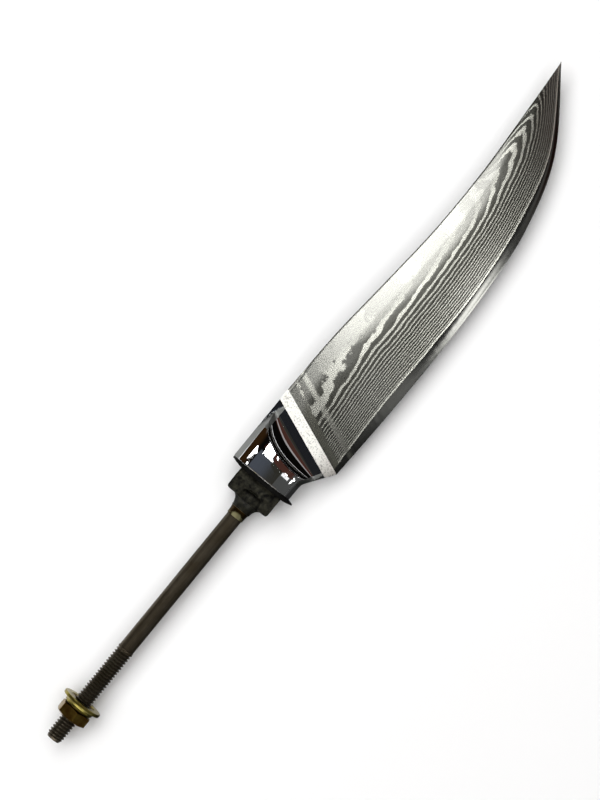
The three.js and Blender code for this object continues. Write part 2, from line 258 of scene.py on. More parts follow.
# What changes along the blade: how much, from what distance to the tip, and over what run, which is less
# than 0 where it goes towards the tip.
crown_gains = [(1.2, 34, 18), (1.7, 48, 50), (0.02, 91, 11), (0.58, 103, 9)]
start_gains = [(0.25, 16, -9)]
fall_gains = [(0.3, 42, -12)]
rate_gains = [(0.08, 92, 22), (0.05, 60, -22)]
bend_gains = [(0.08, 91, 11), (-0.03, 103, 9)]
slope_gains = [(-0.18, 91, 11), (0.05, 103, 9)]


def eased(part):
    """A share that leaves 0 and comes to 1 gently."""
    part = min(max(part, 0), 1)
    return part * part * (3 - 2 * part)


def soft_least(first, second, blend):
    """The smaller of two sizes, rounded over where they cross."""
    overlap = max(blend - abs(first - second), 0) / blend
    return min(first, second) - overlap * overlap * blend / 4


def gained(gains, to_tip):
    """The sum of what has changed at a distance from the tip."""
    return sum(gain * eased((to_tip - place) / run) for gain, place, run in gains)


def grind(rib, rise):
    """How many layers the grind has left at a share of the way from the core to the spine: few on the
    flat bevel above the core, nearly all on the low crown, and fewer again towards the tip. In front of
    the heel the crown lies flatter, so that one layer shows there as a broad patch."""
    to_tip = tip_x - rib.edge.lerp(rib.spine, rib.border + rise * (1 - rib.border)).x
    full = crown_layers * (1 - exp(-to_tip / tip_run)) + gained(crown_gains, to_tip)
    above = (rise - crown_start - gained(start_gains, to_tip)) * rib.clad
    if above > 0:
        return max(full - gained(fall_gains, to_tip) * above * above, 0)
    rate = layers_per_mm * (1 + gained(rate_gains, to_tip))
    bend = (crown_bend + gained(bend_gains, to_tip)) * full
    slope = crown_slope + gained(slope_gains, to_tip)
    return max(soft_least(rate * rise * rib.clad, full + slope * above, bend), 0)


def painted_sheen(x, y):
    """How much painted sheen lies on the crown, below the spine and most of all in the middle of the spine.
    """
    low = on_curve(sheen_heights, min(max((x - heel_base) / blade_length, 0), 1))
    return eased((y - low) / sheen_fade)


def line_strength(x, y, rise):
    """How bright the layers' lines show: less on the thin bevel by the tip and under the painted sheen."""
    thin = eased((x - dull_place) / dull_run) * eased((dull_top - rise) / dull_fade)
    return (1 - bevel_dulling * thin) * (1 - sheen_dulling * painted_sheen(x, y))


def cladding_rows(rib):
    """The points of a cladding's outer face from the spine down to the core, with their layers."""
    broken = break_slope * eased((break_end - rib.spine.x) / break_run)
    rows = []
    for step in range(grind_rows, 0, -1):
        rise = step / grind_rows
        layer = grind(rib, rise)
        near = max(spine_round - (1 - rise) * rib.clad, 0)
        fall = spine_round - sqrt(spine_round ** 2 - near ** 2)
        fall += broken * max(spine_break - (1 - rise) * rib.clad, 0)
        half = max(core_half + layer_thickness * layer - fall, core_half)
        rows.append((rib.at(rib.border + rise * (1 - rib.border), half), layer, rise * rib.clad))
    return rows


def cladding(name, side):
    """The cladding of one side, with what its material reads at each of its points."""
    rings = []
    layers = []
    rises = []
    for rib in blade_ribs:
        rows = [(rib.at(rib.border, core_half), 0, 0), (rib.at(1, core_half), 0, rib.clad)]
        rows += cladding_rows(rib)
        if side < 0:
            rows = [((x, y, -half), layer, climb) for (x, y, half), layer, climb in reversed(rows)]
        rings.append([point for point, layer, climb in rows])
        layers += [layer for point, layer, climb in rows]
        rises += [(climb, climb / rib.clad) for point, layer, climb in rows]
    piece = skinned(name, rings, (tip_x, tip_height, 0))
    points = [point for ring in rings for point in ring] + [(tip_x, tip_height, 0)]
    rises.append((0, 0))
    marked(piece, "layer", layers + [0])
    marked(piece, "climb", [climb for climb, rise in rises])
    marked(piece, "crown", [eased((rise - mottle_place) / mottle_run) for climb, rise in rises])
    # The lines' strength includes their painted fading under the painted sheen.
    marked(piece, "strength", [
        line_strength(x, y, rise) for (x, y, half), (climb, rise) in zip(points, rises)])
    marked(piece, "painted_sheen", [painted_sheen(x, y) for x, y, half in points])
    marked(piece, "plunge_highlight", [painted_plunge_highlight(x, y) for x, y, half in points])
    marked(piece, "start", [past_heel(x, y) - pattern_start - pattern_lean * y for x, y, half in points])
    marked(piece, "height", [y for x, y, half in points])
    smoothed(piece, 30)
    return piece


right_cladding = cladding("right_cladding_steel", 1)
left_cladding = cladding("left_cladding_steel", -1)

# Pattern-welded steel, etched: pale nickel-bearing lines on a dark olive ground, wavy from the hammer and
# mottled on the crown, with a bare grey strip along the weld, a painted highlight on the stripe where the
# grind runs out, and a painted sheen along the spine, where the ground is painted paler and the lines
# fainter. A film of oil adds a second, sharper gloss.
layered_steel, layered_shader = surface(right_cladding, "etched pattern-welded steel")
left_cladding.data.materials.append(layered_steel)
layered_shader["Metallic"].default_value = 1
clad_place = add_node(layered_steel, "ShaderNodeTexCoord").outputs["Object"]
hammer_wave, hammer_depth = 1.7, 0.5
mottle_depth = 0.55
first_layer = 0.2
hammered = add_node(layered_steel, "ShaderNodeMapping", {"Vector": clad_place, "Scale": (0.55, 1, 1)})
hammer = add_node(layered_steel, "ShaderNodeTexNoise", {
    "Vector": hammered.outputs["Vector"], "Scale": 1 / (hammer_wave * mm), "Detail": 0.6})
mottle = add_node(layered_steel, "ShaderNodeTexNoise", {
    "Vector": clad_place, "Scale": 1 / (0.9 * mm), "Detail": 2.0, "Roughness": 0.6})
etch_grain = add_node(layered_steel, "ShaderNodeTexNoise", {
    "Vector": clad_place, "Scale": 1 / (0.22 * mm), "Detail": 2.0, "Roughness": 0.6})
depth, climb, crown, strength, sheen_mask, start, height, plunge_highlight = (
    add_node(layered_steel, "ShaderNodeAttribute", attribute_name=name).outputs["Fac"]
    for name in ("layer", "climb", "crown", "strength", "painted_sheen", "start", "height", "plunge_highlight"))
centred = add_node(layered_steel, "ShaderNodeMath", {0: hammer.outputs["Fac"], 1: 0.5}, operation="SUBTRACT")
waved = add_node(layered_steel, "ShaderNodeMath", {
    0: centred.outputs[0], 1: hammer_depth, 2: depth}, operation="MULTIPLY_ADD")
mottle_amount = add_node(layered_steel, "ShaderNodeMath", {0: crown, 1: mottle_depth}, operation="MULTIPLY")
mottle_centred = add_node(layered_steel, "ShaderNodeMath", {
    0: mottle.outputs["Fac"], 1: 0.5}, operation="SUBTRACT")
mottled = add_node(layered_steel, "ShaderNodeMath", {
    0: mottle_centred.outputs[0], 1: mottle_amount.outputs[0], 2: waved.outputs[0]},
    operation="MULTIPLY_ADD")
counted = add_node(layered_steel, "ShaderNodeMath", {
    0: mottled.outputs[0], 1: first_layer}, operation="SUBTRACT")
folded = add_node(layered_steel, "ShaderNodeMath", {0: counted.outputs[0], 1: 0.5}, operation="PINGPONG")
line_shape = add_node(layered_steel, "ShaderNodeMapRange", {
    "Value": folded.outputs[0], "From Min": 0.25, "From Max": 0.13, "To Min": 0.0, "To Max": 0.62},
    interpolation_type="SMOOTHSTEP")
layer_line = add_node(layered_steel, "ShaderNodeMath", {
    0: line_shape.outputs[0], 1: strength}, operation="MULTIPLY")
border_line = add_node(layered_steel, "ShaderNodeMapRange", {
    "Value": climb, "From Min": border_width + 0.1, "From Max": border_width},
    interpolation_type="SMOOTHSTEP")
line = add_node(layered_steel, "ShaderNodeMath", {
    0: layer_line.outputs[0], 1: border_line.outputs[0]}, operation="MAXIMUM")
ragged_start = add_node(layered_steel, "ShaderNodeMath", {
    0: mottle_centred.outputs[0], 1: 1.8, 2: start}, operation="MULTIPLY_ADD")
begun = add_node(layered_steel, "ShaderNodeMapRange", {
    "Value": ragged_start.outputs[0], "From Min": -0.1, "From Max": 0.25}, interpolation_type="SMOOTHSTEP")
shown_line = add_node(layered_steel, "ShaderNodeMath", {
    0: line.outputs[0], 1: begun.outputs[0]}, operation="MULTIPLY")
near_start = add_node(layered_steel, "ShaderNodeMath", {0: start}, operation="ABSOLUTE")
streak_band = add_node(layered_steel, "ShaderNodeMapRange", {
    "Value": near_start.outputs[0], "From Min": 0.7, "From Max": 0.1})
streak_high = add_node(layered_steel, "ShaderNodeMapRange", {
    "Value": height, "From Min": 1.0, "From Max": 8.0})
streak_speck = add_node(layered_steel, "ShaderNodeMapRange", {
    "Value": mottle.outputs["Fac"], "From Min": 0.46, "From Max": 0.54})
streak_amount = add_node(layered_steel, "ShaderNodeMath", {
    0: streak_band.outputs[0], 1: streak_high.outputs[0]}, operation="MULTIPLY")
streak = add_node(layered_steel, "ShaderNodeMath", {
    0: streak_amount.outputs[0], 1: streak_speck.outputs[0]}, operation="MULTIPLY")
streaked = add_node(layered_steel, "ShaderNodeMath", {
    0: shown_line.outputs[0], 1: streak.outputs[0]}, operation="MAXIMUM")
# Painted highlight on the stripe where the grind runs out, paler towards the spine, laid over the lines.
plunge_highlight_tone = add_node(layered_steel, "ShaderNodeMapRange", {
    "Value": height, "From Min": -14.0, "From Max": 9.0, "To Min": 0.28, "To Max": 0.75})
pale = add_node(layered_steel, "ShaderNodeMix", {
    "Factor": plunge_highlight, "A": streaked.outputs[0], "B": plunge_highlight_tone.outputs[0]}, data_type="FLOAT")
etched_tone = add_node(layered_steel, "ShaderNodeMix", {
    "Factor": etch_grain.outputs["Fac"], "A": linear("#30302a"), "B": linear("#3d3d36")}, data_type="RGBA")
ground_tone = add_node(layered_steel, "ShaderNodeMix", {
    "Factor": begun.outputs[0], "A": linear("#5e5e55"), "B": etched_tone.outputs["Result"]},
    data_type="RGBA")
# Painted sheen: the ground is painted paler below the spine, where a lamp's reflection lies on the crown.
sheen_tone = add_node(layered_steel, "ShaderNodeMix", {
    "Factor": sheen_mask, "A": ground_tone.outputs["Result"], "B": linear("#7a7a74")}, data_type="RGBA")
clad_colour = add_node(layered_steel, "ShaderNodeMix", {
    "Factor": pale.outputs[0], "A": sheen_tone.outputs["Result"], "B": linear("#cbcbc1")}, data_type="RGBA")
layered_steel.node_tree.links.new(clad_colour.outputs["Result"], layered_shader["Base Color"])
clad_roughness = add_node(layered_steel, "ShaderNodeMapRange", {
    "Value": pale.outputs[0], "To Min": 0.27, "To Max": 0.25})
layered_steel.node_tree.links.new(clad_roughness.outputs[0], layered_shader["Roughness"])
layered_shader["Coat Weight"].default_value = 1.0
layered_shader["Coat Roughness"].default_value = 0.16
for piece, node in ((right_cladding, "right_cladding"), (left_cladding, "left_cladding")):
    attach(piece, "knife")
    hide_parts(node)


# Weld seam: the run of weld that joins the blade's heel to the bolster's tongue.
# Stainless filler, ground flush with both and bead blasted.
tongue_half = 1.4
belly_depth = 8.3
choil_start = 5.2
heel_edge = (edge_places[0], edge_heights[0])
choil_slope = (heel_edge[1] + belly_depth) / (heel_edge[0] - choil_start)
border_drop = choil_slope * (bolster_length - choil_start) - belly_depth
border_drop = border_drop / (1 - choil_slope * tan(slant))
border_edge = Vector((bolster_length + tan(slant) * border_drop, border_drop))
border_spine = Vector((bolster_length + tan(slant) * spine_heights[0], spine_heights[0]))
weld_steps = 12
heel_rib = blade_ribs[0]
heel_side = [(0, 0), (hone_width / heel_rib.length, hone_half), (heel_rib.border, core_half)]
for step in range(1, grind_rows + 1):
    rise = step / grind_rows
    half = core_half + layer_thickness * grind(heel_rib, rise)
    heel_side.append((heel_rib.border + rise * (1 - heel_rib.border), half))


def weld_ring(part):
    """The points round the weld at a part of the way from the tongue to the blade's heel."""
    side = []
    for share, heel_half in heel_side:
        x, y = border_edge.lerp(border_spine, share).lerp(heel_rib.edge.lerp(heel_rib.spine, share), part)
        side.append((x, y, tongue_half + (heel_half - tongue_half) * part))
    return [(x, y, -half) for x, y, half in side] + side[::-1]


weld_seam = skinned("weld_run", [weld_ring(step / weld_steps) for step in range(weld_steps + 1)])
smoothed(weld_seam, 30)

# Bead-blasted stainless: frosted nearly white, with grey grains where the blast bit less. The grains are
# drawn coarser than the beads leave them, so that they show.
weld_metal, weld_shader = surface(weld_seam, "bead-blasted stainless weld")
weld_shader["Metallic"].default_value = 1
weld_place = add_node(weld_metal, "ShaderNodeTexCoord").outputs["Object"]
weld_grain = add_node(weld_metal, "ShaderNodeTexNoise", {
    "Vector": weld_place, "Scale": 1 / (0.42 * mm), "Detail": 2.0, "Roughness": 0.65})
weld_speck = add_node(weld_metal, "ShaderNodeMapRange", {
    "Value": weld_grain.outputs["Fac"], "From Min": 0.36, "From Max": 0.46})
weld_colour = add_node(weld_metal, "ShaderNodeMix", {
    "Factor": weld_speck.outputs[0], "A": linear("#b4b4ae"), "B": linear("#ecece6")}, data_type="RGBA")
weld_metal.node_tree.links.new(weld_colour.outputs["Result"], weld_shader["Base Color"])
weld_shader["Roughness"].default_value = 0.42
weld_bump = add_node(weld_metal, "ShaderNodeBump", {
    "Height": weld_grain.outputs["Fac"], "Distance": 0.04 * mm, "Strength": 0.6})
weld_metal.node_tree.links.new(weld_bump.outputs["Normal"], weld_shader["Normal"])
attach(weld_seam, "knife")
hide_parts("weld_seam")


# Bolster: the thick body behind the blade, with a flat tongue in front that the weld runs along.
# Solid stainless steel, hollowed on each side by a bowed scallop, and polished to a mirror.
body_top = spine_heights[0]
body_half = 6.5
body_taper = tan(radians(2.6))
body_middle = (body_top - belly_depth) / 2
side_flat = 3
oval_reach = (body_top + belly_depth) / 2 - side_flat
oval_power = 2.3
spine_half, spine_bevel = 1.7, 1.5
belly_half, belly_bevel = 1.8, 1.2
tongue_width = 2.3
scallop_depth = 5.6
scallop_run = 6.2
scallop_reach = 11.9
scallop_middle = -1.8
scallop_least, scallop_wall = 0.06, 12
scallop_round, tongue_round = 0.35, 0.1
roll_start, roll_curve = 4.2, 0.03
lip_width, lip_fall, lip_step = 1.5, 0.115, 1.2
lip_top, lip_fade = 2.2, 2.5
rear_roll, rear_curve = 2.2, 0.0112
choil_bend = 0.6
edge_round = 0.15

# How the start of the roll leans back below the middle: how fast, from what height, and over what drop.
roll_leans = [(0.42, 1.3, 2.6), (0.1, -1.3, 5)]


def oval_width(rise):
    """The oval's width, as a share of its widest, at a distance from its middle."""
    return (1 - min(max(rise - side_flat, 0) / oval_reach, 1) ** oval_power) ** (1 / oval_power)


def body_side(x, y):
    """Half the thickness of the bolster's body before it is hollowed."""
    wide = body_half - body_taper * x
    rise = abs(y - body_middle)
    bevel, flat = (spine_bevel, spine_half) if y > body_middle else (belly_bevel, belly_half)
    bevel_start = side_flat + oval_reach - bevel
    if rise < bevel_start:
        return wide * oval_width(rise)
    corner = wide * oval_width(bevel_start)
    return max(corner + (flat - corner) * (rise - bevel_start) / bevel, flat)


def scallop_place(x, y):
    """How far a point lies behind the tongue, and how far the scallop runs there."""
    behind = (bolster_length + tan(slant) * y - x) * cos(slant)
    station = (y - behind * sin(slant) - scallop_middle) / scallop_reach
    run = scallop_run * sqrt(max(1 - station * station, 0)) - lip_step * eased((8 - y) / 16)
    return behind - tongue_width, max(run, scallop_least)


def belly_line(x):
    """How deep the belly is, with the bend where it turns down into the choil."""
    past = x - choil_start
    return belly_depth - choil_slope * (past + sqrt(past * past + choil_bend * choil_bend)) / 2


def bolster_side(x, y):
    """Half the bolster's thickness at a place in its side view."""
    behind, run = scallop_place(x, y)
    lean = sum(rate * max(min(top - y, drop), 0) for rate, top, drop in roll_leans)
    roll = max(x - roll_start + lean, 0)
    lip = max(run + lip_width - behind, 0) * eased((lip_top - y) / lip_fade)
    level = y if y > 0 else y * belly_line(0) / belly_line(x)
    body = body_side(x, level) - roll_curve / 2 * roll * roll - lip_fall * lip
    body -= rear_curve / 2 * max(rear_roll - x, 0) ** 2
    share = min(max(behind / run, 0), 1)
    hollow = tongue_half + scallop_depth * (1 - sqrt(1 - share * share))
    if behind > run:
        hollow += scallop_wall * (behind - run)
    return -soft_least(-tongue_half, -soft_least(body, hollow, scallop_round), tongue_round)


def row_height(row, x):
    """The height of a row of points, which below the axis is stretched to follow the belly."""
    return row if row > 0 else row * belly_line(x) / belly_line(0)


def crossing(row, gap):
    """The place along a row where the gap closes."""
    low, high = 0.0, 25.0
    for halving in range(40):
        x = (low + high) / 2
        if gap(x, row_height(row, x)) > 0:
            low = x
        else:
            high = x
    return low


def behind_weld(x, y):
    """How far a point lies behind the weld."""
    return bolster_length + tan(slant) * y - x


def behind_tongue(x, y):
    """How far a point lies behind the tongue."""
    return scallop_place(x, y)[0]


def behind_scallop(x, y):
    """How far a point lies behind the scallop."""
    behind, run = scallop_place(x, y)
    return behind - run


def behind_lip(x, y):
    """How far a point lies behind the lip that the scallop leaves."""
    return behind_scallop(x, y) - lip_width


rear_columns = [0, 0.02, 0.06, 0.1, edge_round]
body_columns, lip_columns, scallop_columns, tongue_columns = 24, 14, 56, 8


def bolster_row(row):
    """The points of one row on the right side, from the rear face to the weld."""
    lip_end, scallop_end, tongue_end, end = (
        crossing(row, gap) for gap in (behind_lip, behind_scallop, behind_tongue, behind_weld))
    places = list(rear_columns)
    places += even_steps(edge_round, lip_end, body_columns)[1:]
    for step in range(1, lip_columns + 1):
        part = sin(step / lip_columns * pi / 2)
        places.append(lip_end + (scallop_end - lip_end) * part)
    for step in range(1, scallop_columns + 1):
        part = cos(step / scallop_columns * pi / 2)
        places.append(tongue_end + (scallop_end - tongue_end) * part)
    for step in range(1, tongue_columns + 1):
        places.append(tongue_end + (end - tongue_end) * step / tongue_columns)
    points = []
    for x in places:
        y = row_height(row, x)
        near = max(edge_round - x, 0)
        inset = edge_round - sqrt(edge_round ** 2 - near ** 2)
        shrink = 1 - inset / body_half
        points.append((x, body_middle + (y - body_middle) * shrink, bolster_side(x, y) * shrink))
    return points


row_heights = even_steps(body_top, body_top - spine_bevel, 6)
row_heights += even_steps(body_top - spine_bevel, -belly_depth + belly_bevel, 110)[1:]
row_heights += even_steps(-belly_depth + belly_bevel, -belly_depth, 6)[1:]
bolster_rows = [bolster_row(row) for row in row_heights]
bolster_rings = []
for column in range(len(bolster_rows[0])):
    side = [row[column] for row in bolster_rows]
    bolster_rings.append(side + [(x, y, -half) for x, y, half in reversed(side)])
bolster = skinned("bolster_body", bolster_rings)


def cut(piece, tool, operation):
    """Cut, join or trim a piece by a tool, which is thrown away."""
    take(piece)
    modifier = piece.modifiers.new("cut", "BOOLEAN")
    modifier.operation = operation
    modifier.object = tool
    bpy.ops.object.modifier_apply(modifier=modifier.name)
    bpy.data.objects.remove(tool)


def block(name, low, high):
    """A plain block between two corners, to be shaped or to cut with."""
    bpy.ops.object.select_all(action="DESELECT")
    bpy.ops.mesh.primitive_cube_add(size=1)
    piece = bpy.context.object
    piece.name = name
    for vertex in piece.data.vertices:
        corner = [high[axis] if vertex.co[axis] > 0 else low[axis] for axis in range(3)]
        vertex.co = placed(corner)
    return piece


spigot_length, spigot_rise, spigot_half, fit = 3, 5, 2.2, 0.3
pocket = block("pocket", (-1, -spigot_rise - fit, -spigot_half - fit),
               (spigot_length + fit, spigot_rise + fit, spigot_half + fit))
cut(bolster, pocket, "DIFFERENCE")
smoothed(bolster, 13)

# Mirror-polished stainless: clear reflections, dulled a little by the buffing, whose marks are drawn
# coarser than they are, so that they show.
mirror_steel, mirror_shader = surface(bolster, "mirror-polished stainless steel")
mirror_shader["Metallic"].default_value = 1
mirror_shader["Base Color"].default_value = linear("#dcddde")
mirror_place = add_node(mirror_steel, "ShaderNodeTexCoord").outputs["Object"]
buffing = add_node(mirror_steel, "ShaderNodeTexNoise", {
    "Vector": mirror_place, "Scale": 1 / (0.8 * mm), "Detail": 4.0, "Roughness": 0.7})
mirror_roughness = add_node(mirror_steel, "ShaderNodeMapRange", {
    "Value": buffing.outputs["Fac"], "From Min": 0.3, "From Max": 0.7, "To Min": 0.025, "To Max": 0.04})
mirror_steel.node_tree.links.new(mirror_roughness.outputs[0], mirror_shader["Roughness"])

# Belt-ground stainless on the spine and the bevels: even grey, with no clear reflection.
ground_belly_start = 4
ground_corner_start, ground_corner_height = 11, 7.9
tongue_skin = 0.004
ground_steel, ground_shader = surface(bolster, "belt-ground stainless steel")
ground_shader["Metallic"].default_value = 1
ground_place = add_node(ground_steel, "ShaderNodeTexCoord").outputs["Object"]
belt_lines = add_node(ground_steel, "ShaderNodeMapping", {
    "Vector": ground_place, "Scale": (1 / (6 * mm), 1 / (0.15 * mm), 1 / (0.15 * mm))})
belt_grain = add_node(ground_steel, "ShaderNodeTexNoise", {
    "Vector": belt_lines.outputs["Vector"], "Scale": 1.0, "Detail": 3.0})
ground_colour = add_node(ground_steel, "ShaderNodeMix", {
    "Factor": belt_grain.outputs["Fac"], "A": linear("#747674"), "B": linear("#8c8e8c")}, data_type="RGBA")
ground_steel.node_tree.links.new(ground_colour.outputs["Result"], ground_shader["Base Color"])
ground_shader["Roughness"].default_value = 0.4
for face in bolster.data.polygons:
    x, y, half = (face.center - origin) / mm
    on_spine = y > body_top - spine_bevel
    on_belly = x > ground_belly_start and y < row_height(-belly_depth + belly_bevel, x)
    on_corner = x > ground_corner_start and y > ground_corner_height
    if (on_spine or on_belly or on_corner) and abs(half) > tongue_half + tongue_skin:
        face.material_index = 1
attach(bolster, "knife")
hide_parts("bolster")


# Guard plate: the thin oval plate between the bolster and the handle.
# Mild steel, forged with a slot that slips over the tenon block, thinned at the spine and drawn to a fin.
plate_thickness = 1.3
plate_half = 6.1
plate_top, plate_bottom = 10.5, 9.9
plate_top_bevel, plate_top_edge = 3.3, 0.6
plate_fin, plate_fin_edge = 2.4, 0.3
plate_end_half, plate_end_start, plate_end_taper = 1.7, 0.98, 10
plate_sides = 128
tenon_top, tenon_bottom, tenon_half = 7.0, 6.6, 3
plate_middle = (plate_top - plate_bottom) / 2
plate_reach = (plate_top + plate_bottom) / 2 - side_flat


def plate_outline(y):
    """Half the plate's width at a height."""
    rise = min(max(abs(y - plate_middle) - side_flat, 0) / plate_reach, 1)
    wide = plate_half * (1 - rise ** oval_power) ** (1 / oval_power)
    return max(wide, plate_end_half * (1 - max(rise - plate_end_start, 0) * plate_end_taper))


def plate_faces(y):
    """Where the plate's rear and front faces lie at a height."""
    rear, front = -plate_thickness, 0
    thinned = max(y - plate_top + plate_top_bevel, 0) / plate_top_bevel
    rear += (plate_thickness - plate_top_edge) * thinned
    drawn = min(max(plate_fin - plate_bottom - y, 0) / plate_fin, 1)
    spare = (plate_thickness - plate_fin_edge) / 2 * drawn
    return rear + spare, front - spare


plate_ring = []
for step in range(plate_sides):
    turn = 2 * pi * (step + 0.5) / plate_sides
    y = plate_middle + (side_flat + plate_reach) * cos(turn)
    plate_ring.append((y, plate_outline(y) * (1 if sin(turn) > 0 else -1)))
guard_plate = skinned("guard_plate_steel", [
    [(plate_faces(y)[face], y, z) for y, z in plate_ring] for face in (0, 1)])
slot = block("slot", (-3, -tenon_bottom - fit, -tenon_half - fit), (2, tenon_top + fit, tenon_half + fit))
cut(guard_plate, slot, "DIFFERENCE")


def forged(piece, voxel, depth, size):
    """Give a piece even facets, soften its corners and leave the hammer's and the scale's marks on it."""
    take(piece)
    piece.data.remesh_voxel_size = voxel * mm
    bpy.ops.object.voxel_remesh()
    soften = piece.modifiers.new("soften", "SMOOTH")
    soften.factor = 0.5
    soften.iterations = 2
    bpy.ops.object.modifier_apply(modifier=soften.name)
    normals = [vertex.normal.copy() for vertex in piece.data.vertices]
    for vertex, normal in zip(piece.data.vertices, normals):
        spot = vertex.co / (size * mm)
        vertex.co += normal * (noise.fractal(spot, 0.9, 2, 4) - 0.3) * depth * mm
    smoothed(piece, 60)


forged(guard_plate, 0.12, 0.04, 1.2)

# Forging scale on mild steel: black oxide, dull, with paler patches that are barely olive.
plate_steel, plate_shader = surface(guard_plate, "forged steel with black scale")
plate_place = add_node(plate_steel, "ShaderNodeTexCoord").outputs["Object"]
plate_patches = add_node(plate_steel, "ShaderNodeTexNoise", {
    "Vector": plate_place, "Scale": 1 / (1.8 * mm), "Detail": 5.0, "Roughness": 0.65})
plate_colour = add_node(plate_steel, "ShaderNodeMix", {
    "Factor": plate_patches.outputs["Fac"], "A": linear("#020202"), "B": linear("#0d0d0b")},
    data_type="RGBA")
plate_steel.node_tree.links.new(plate_colour.outputs["Result"], plate_shader["Base Color"])
plate_shader["Metallic"].default_value = 0.5
plate_shader["Roughness"].default_value = 0.6
plate_shader["Specular IOR Level"].default_value = 0.2
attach(guard_plate, "knife")
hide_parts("guard_plate")


# Tenon block: the forged block behind the plate that keys the handle, with the boss that takes the rod.
# Mild steel, drop forged; its spigot sits in the bolster's pocket and its bore takes the rod's end.
tenon_length = 6.36
block_rear = -plate_thickness - tenon_length
tenon_round = 0.9
boss_radius, boss_run, boss_nose = 4.4, 3, 1.5
cone_length = 2.7
rod_radius, rod_fit, rod_seat = 2.25, 0.1, 3.7
braze_wall = 0.55
cone_rear = block_rear - cone_length
boss_front = block_rear + boss_run
bore_radius = rod_radius + rod_fit
cone_radius = bore_radius + braze_wall


def bevelled(piece, width, segments, choose):
    """Round the edges of a piece whose middles are chosen."""
    take(piece)
    bpy.ops.object.mode_set(mode="EDIT")
    bpy.ops.mesh.select_all(action="DESELECT")
    bpy.ops.object.mode_set(mode="OBJECT")
    for edge in piece.data.edges:
        first, last = (piece.data.vertices[index].co for index in edge.vertices)
        edge.select = choose((first + last) / 2 - origin, last - first)
    bpy.ops.object.mode_set(mode="EDIT")
    bpy.ops.mesh.select_mode(type="EDGE")
    bpy.ops.mesh.bevel(offset=width * mm, segments=segments, affect="EDGES")
    bpy.ops.object.mode_set(mode="OBJECT")


def spun(name, profile, steps=96):
    """A closed profile of (x, radius) points, spun about the tang's axis."""
    mesh = bpy.data.meshes.new(name)
    count = len(profile)
    points = [placed((x, radius, 0)) for x, radius in profile]
    mesh.from_pydata(points, [(step, (step + 1) % count) for step in range(count)], [])
    piece = bpy.data.objects.new(name, mesh)
    bpy.context.collection.objects.link(piece)
    take(piece)
    bpy.ops.object.mode_set(mode="EDIT")
    bpy.ops.mesh.select_all(action="SELECT")
    bpy.ops.mesh.spin(steps=steps, angle=2 * pi, center=origin, axis=(1, 0, 0))
    bpy.ops.mesh.select_all(action="SELECT")
    bpy.ops.mesh.remove_doubles(threshold=0.0005 * mm)
    bpy.ops.mesh.normals_make_consistent(inside=False)
    bpy.ops.object.mode_set(mode="OBJECT")
    return piece


def hollow_curve(start, bend, end, steps):
    """Points on a curve that leaves the start for the bend and comes to the end from it."""
    points = []
    for step in range(steps + 1):
        part = step / steps
        points.append(tuple((1 - part) ** 2 * a + 2 * part * (1 - part) * b + part ** 2 * c
                            for a, b, c in zip(start, bend, end)))
    return points


tenon_block = block("tenon_block_steel", (block_rear, -tenon_bottom, -tenon_half),
                    (0, tenon_top, tenon_half))
bevelled(tenon_block, tenon_round, 4,
         lambda middle, along: abs(along.z) > tenon_half * mm and middle.x < block_rear / 2 * mm)
spigot = block("spigot", (-1, -spigot_rise, -spigot_half), (spigot_length, spigot_rise, spigot_half))
cut(tenon_block, spigot, "UNION")
cone = hollow_curve((cone_rear, cone_radius), (block_rear - cone_length / 3, cone_radius),
                    (block_rear, boss_radius), 12)
nose = hollow_curve((boss_front - boss_nose, boss_radius), (boss_front, boss_radius),
                    (boss_front, boss_radius - boss_nose), 8)
boss = spun("boss", [(cone_rear, 0), *cone, *nose, (boss_front, 0)])
cut(tenon_block, boss, "UNION")
bore_front = block_rear + rod_seat
bore = spun("bore", [
    (cone_rear - 2, 0), (cone_rear - 2, bore_radius), (bore_front, bore_radius), (bore_front, 0)])
cut(tenon_block, bore, "DIFFERENCE")
forged(tenon_block, 0.1, 0.1, 2.2)

# The fold that the forging die left round the front of the boss: a curved crease with a raised lip.
crease_radius, crease_reach, crease_width = 4.1, 1.7, 0.14
crease_depth, crease_lip, crease_lip_place = 0.36, 0.18, 0.32
crease_place = boss_front - crease_radius + 0.1
for vertex in tenon_block.data.vertices:
    spot = (vertex.co - origin) / mm
    if abs(spot.z) > tenon_half - 0.6 and spot.x > block_rear:
        away = hypot(spot.x - crease_place, spot.y) - crease_radius
        reach = exp(-(spot.y / crease_reach) ** 4) * (1 if spot.x > crease_place else 0)
        mark = crease_lip * exp(-((away - crease_lip_place) / crease_width) ** 2)
        mark -= crease_depth * exp(-(away / crease_width) ** 2)
        vertex.co.z += mark * reach * mm * (1 if spot.z > 0 else -1)

# Drop-forged scale: black with olive patches, pitted, and slightly shiny on the high spots.
scale_steel, scale_shader = surface(tenon_block, "drop-forged steel with black scale")
scale_place = add_node(scale_steel, "ShaderNodeTexCoord").outputs["Object"]
scale_patches = add_node(scale_steel, "ShaderNodeTexNoise", {
    "Vector": scale_place, "Scale": 1 / (1.6 * mm), "Detail": 5.0, "Roughness": 0.68})
scale_tint = add_node(scale_steel, "ShaderNodeMapRange", {
    "Value": scale_patches.outputs["Fac"], "From Min": 0.38, "From Max": 0.68})
scale_colour = add_node(scale_steel, "ShaderNodeMix", {
    "Factor": scale_tint.outputs[0], "A": linear("#040403"), "B": linear("#35342a")}, data_type="RGBA")
scale_steel.node_tree.links.new(scale_colour.outputs["Result"], scale_shader["Base Color"])
scale_shader["Metallic"].default_value = 0.6
scale_shader["Specular IOR Level"].default_value = 0.3
scale_roughness = add_node(scale_steel, "ShaderNodeMapRange", {
    "Value": scale_patches.outputs["Fac"], "From Min": 0.3, "From Max": 0.7, "To Min": 0.6, "To Max": 0.36})
scale_steel.node_tree.links.new(scale_roughness.outputs[0], scale_shader["Roughness"])
